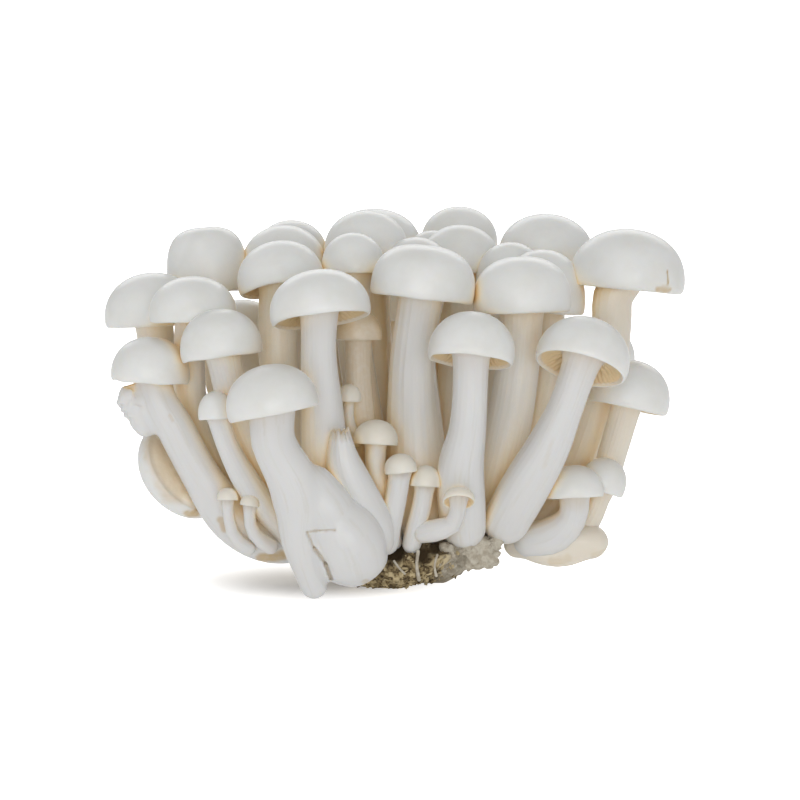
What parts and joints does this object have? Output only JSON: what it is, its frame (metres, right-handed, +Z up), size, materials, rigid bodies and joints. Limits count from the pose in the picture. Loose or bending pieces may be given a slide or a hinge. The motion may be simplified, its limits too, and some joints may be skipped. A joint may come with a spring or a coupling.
{
  "type": "beech mushroom cluster",
  "caption": "Fresh bunch of white beech mushrooms: smooth domed caps on curved stems that grew together from one small crumb of substrate, standing on its base.",
  "frame": {"origin": "middle of the flat resting face under the substrate, on the surface that the cluster stands on", "axes": "+Z up, +X along the cluster's long side to its right as pictured, -Y towards the front"},
  "size_m": [0.1161, 0.0956, 0.0738],
  "materials": {
    "flesh": "smooth pale mushroom skin, matte, with fine streaks along the stems",
    "pin_flesh": "smooth creamy skin of the youngest mushrooms, matte",
    "substrate": "dark brown sawdust crumb bound by pale mycelium, rough"
  },
  "bodies": {
    "root": {"back_1": "flesh", "back_2": "flesh", "back_3": "flesh", "back_4": "flesh", "back_5": "flesh", "back_6": "flesh", "back_7": "flesh", "back_8": "flesh", "broken_stem": "flesh", "centre_1": "flesh", "centre_10": "flesh", "centre_11": "flesh", "centre_12": "flesh", "centre_2": "flesh", "centre_3": "flesh", "centre_4": "flesh", "centre_5": "flesh", "centre_6": "flesh", "centre_7": "flesh", "centre_8": "flesh", "centre_9": "flesh", "drooping_cap": "flesh", "front_1": "flesh", "front_2": "flesh", "front_3": "flesh", "front_4": "flesh", "front_5": "flesh", "front_6": "flesh", "front_7": "flesh", "left_1": "flesh", "left_2": "flesh", "left_3": "flesh", "left_4": "flesh", "left_5": "flesh", "pin_1": "pin_flesh", "pin_2": "pin_flesh", "pin_3": "pin_flesh", "pin_4": "pin_flesh", "pin_5": "pin_flesh", "pin_6": "pin_flesh", "pin_7": "pin_flesh", "right_1": "flesh", "right_2": "flesh", "right_3": "flesh", "right_4": "flesh", "right_5": "flesh", "right_6": "flesh", "right_foot": "flesh", "substrate": "substrate"}
  },
  "joints": []
}
